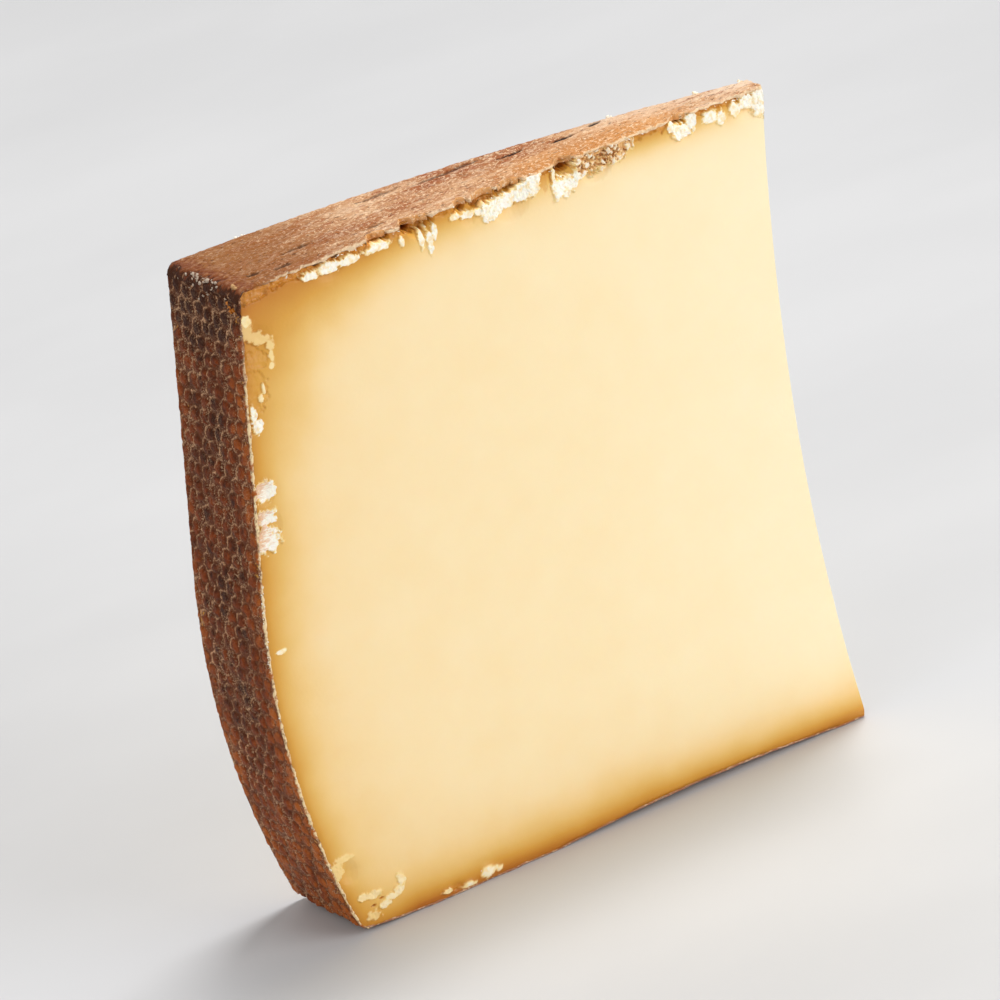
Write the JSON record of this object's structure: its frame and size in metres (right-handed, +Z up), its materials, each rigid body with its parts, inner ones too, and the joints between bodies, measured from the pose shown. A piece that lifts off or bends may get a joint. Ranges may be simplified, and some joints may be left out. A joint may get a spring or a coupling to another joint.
{
  "type": "gruyere cheese wedge",
  "caption": "Thin cut wedge of a gruyere wheel: pale yellow paste, cloth-marked brown heel, brown upper and lower rind, crumbly torn rind edges.",
  "frame": {"origin": "middle of the bounding box, on the surface that the wedge stands on", "axes": "+Z up along the wheel's axis, -X out of the heel, -Y out of the flat front cut"},
  "size_m": [0.1096, 0.0208, 0.1128],
  "materials": {
    "paste": "waxy satin, pale yellow, amber towards the rind",
    "rind": "dry and matt, brown, grained on the flat faces and cloth-marked on the heel",
    "crumb": "matt off-white, broken"
  },
  "bodies": {
    "root": {"cheese_piece": "paste"}
  },
  "joints": []
}
